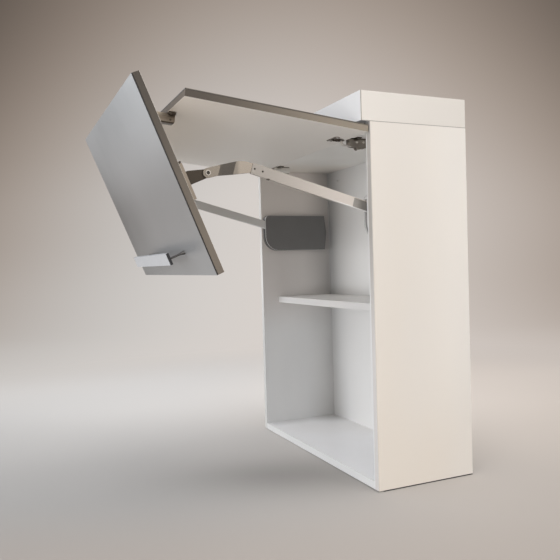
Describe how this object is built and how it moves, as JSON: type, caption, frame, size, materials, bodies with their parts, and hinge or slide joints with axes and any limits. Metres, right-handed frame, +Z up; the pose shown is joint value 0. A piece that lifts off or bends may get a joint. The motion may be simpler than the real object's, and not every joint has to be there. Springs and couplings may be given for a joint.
{
  "type": "lift up wall cabinet",
  "caption": "Tall wall cabinet with one shelf, a cornice and a folding lift-up front carried on balanced lift arms, stored with the front fully raised.",
  "frame": {"origin": "midpoint of the two wall screw holes, on the plane where the cabinet meets the wall", "axes": "+X to the right seen from the front, +Y from the front into the wall, +Z up"},
  "size_m": [0.8, 0.952, 1.08],
  "materials": {
    "carcass_board": "satin",
    "interior_board": "satin",
    "fascia_board": "satin",
    "raw_wood": "matte",
    "door_core": "satin",
    "door_facing": "satin",
    "handle_metal": "satin",
    "bright_steel": "polished",
    "dark_metal": "satin",
    "hinge_steel": "satin",
    "lift_metal": "satin",
    "cover_plastic": "matte",
    "spring_steel": "satin",
    "lever_steel": "satin",
    "roller_plastic": "matte",
    "arm_metal": "satin",
    "bracket_metal": "satin"
  },
  "bodies": {
    "carcass": {"side_panel_left": "carcass_board", "side_panel_right": "carcass_board", "top_panel": "interior_board", "bottom_panel": "interior_board", "back_panel": "interior_board", "hanging_rail": "raw_wood", "shelf": "interior_board", "shelf_pins": "bright_steel", "cornice_front": "fascia_board", "cornice_left": "carcass_board", "cornice_right": "carcass_board", "cornice_cap": "interior_board", "carcass_dowels": "raw_wood", "carcass_screws": "bright_steel", "top_hinge_plates": "dark_metal", "top_hinge_arm_left": "hinge_steel", "top_hinge_arm_right": "hinge_steel", "top_hinge_arm_screws": "bright_steel", "lift_base_left": "lift_metal", "lift_base_right": "lift_metal", "lift_cover_left": "cover_plastic", "lift_cover_right": "cover_plastic", "lift_axles": "bright_steel", "spring_rods": "bright_steel", "springs_left": "spring_steel", "springs_right": "spring_steel"},
    "upper_leaf": {"upper_door": "door_core", "upper_door_facing": "door_facing", "upper_door_screws": "bright_steel", "top_hinge_cup_left": "bright_steel", "top_hinge_cup_right": "bright_steel", "top_hinge_pins": "bright_steel", "centre_hinge_arm_left": "hinge_steel", "centre_hinge_arm_right": "hinge_steel", "centre_hinge_pins": "bright_steel"},
    "lower_leaf": {"lower_door": "door_core", "lower_door_facing": "door_facing", "lower_door_screws": "bright_steel", "handle_grip": "handle_metal", "handle_posts": "handle_metal", "handle_screws": "bright_steel", "centre_hinge_block_left": "dark_metal", "centre_hinge_block_right": "dark_metal", "arm_bracket_left": "bracket_metal", "arm_bracket_right": "bracket_metal", "bracket_plate_left": "dark_metal", "bracket_plate_right": "dark_metal"},
    "left_arm": {"lever_left": "lever_steel", "roller_left": "roller_plastic", "arm_tube_left": "arm_metal", "goose_neck_left": "lever_steel", "arm_fasteners_left": "bright_steel"},
    "right_arm": {"lever_right": "lever_steel", "roller_right": "roller_plastic", "arm_tube_right": "arm_metal", "goose_neck_right": "lever_steel", "arm_fasteners_right": "bright_steel"},
    "left_slider": {"slider_left": "lift_metal"},
    "right_slider": {"slider_right": "lift_metal"}
  },
  "joints": [
    {"name": "upper_leaf_fold", "type": "hinge", "parent": "carcass", "child": "upper_leaf", "pos_m": [0, -0.334, 0.0407], "axis": [1, 0, 0], "range_deg": [0, 96.25]},
    {"name": "lower_leaf_fold", "type": "hinge", "parent": "upper_leaf", "child": "lower_leaf", "pos_m": [0, -0.8968, 0.0797], "axis": [1, 0, 0], "range_deg": [-118.5, 0]},
    {"name": "left_arm_swing", "type": "hinge", "parent": "carcass", "child": "left_arm", "pos_m": [-0.3605, -0.245, -0.19602], "axis": [1, 0, 0], "range_deg": [0, 100.3]},
    {"name": "left_slider_travel", "type": "slide", "parent": "carcass", "child": "left_slider", "axis": [0, 1, 0], "range_m": [0, 0.05109], "deforming": ["springs_left"]},
    {"name": "right_arm_swing", "type": "hinge", "parent": "carcass", "child": "right_arm", "pos_m": [0.3605, -0.245, -0.19602], "axis": [1, 0, 0], "range_deg": [0, 100.3]},
    {"name": "right_slider_travel", "type": "slide", "parent": "carcass", "child": "right_slider", "axis": [0, 1, 0], "range_m": [0, 0.05109], "deforming": ["springs_right"]}
  ],
  "couplings": [
    {"joint": "lower_leaf_fold", "follows": "upper_leaf_fold", "ratio": -1.2312},
    {"joint": "left_arm_swing", "follows": "upper_leaf_fold", "ratio": 1.042},
    {"joint": "left_slider_travel", "follows": "upper_leaf_fold", "m_per_rad": 0.030413},
    {"joint": "right_arm_swing", "follows": "upper_leaf_fold", "ratio": 1.042},
    {"joint": "right_slider_travel", "follows": "upper_leaf_fold", "m_per_rad": 0.030413}
  ]
}
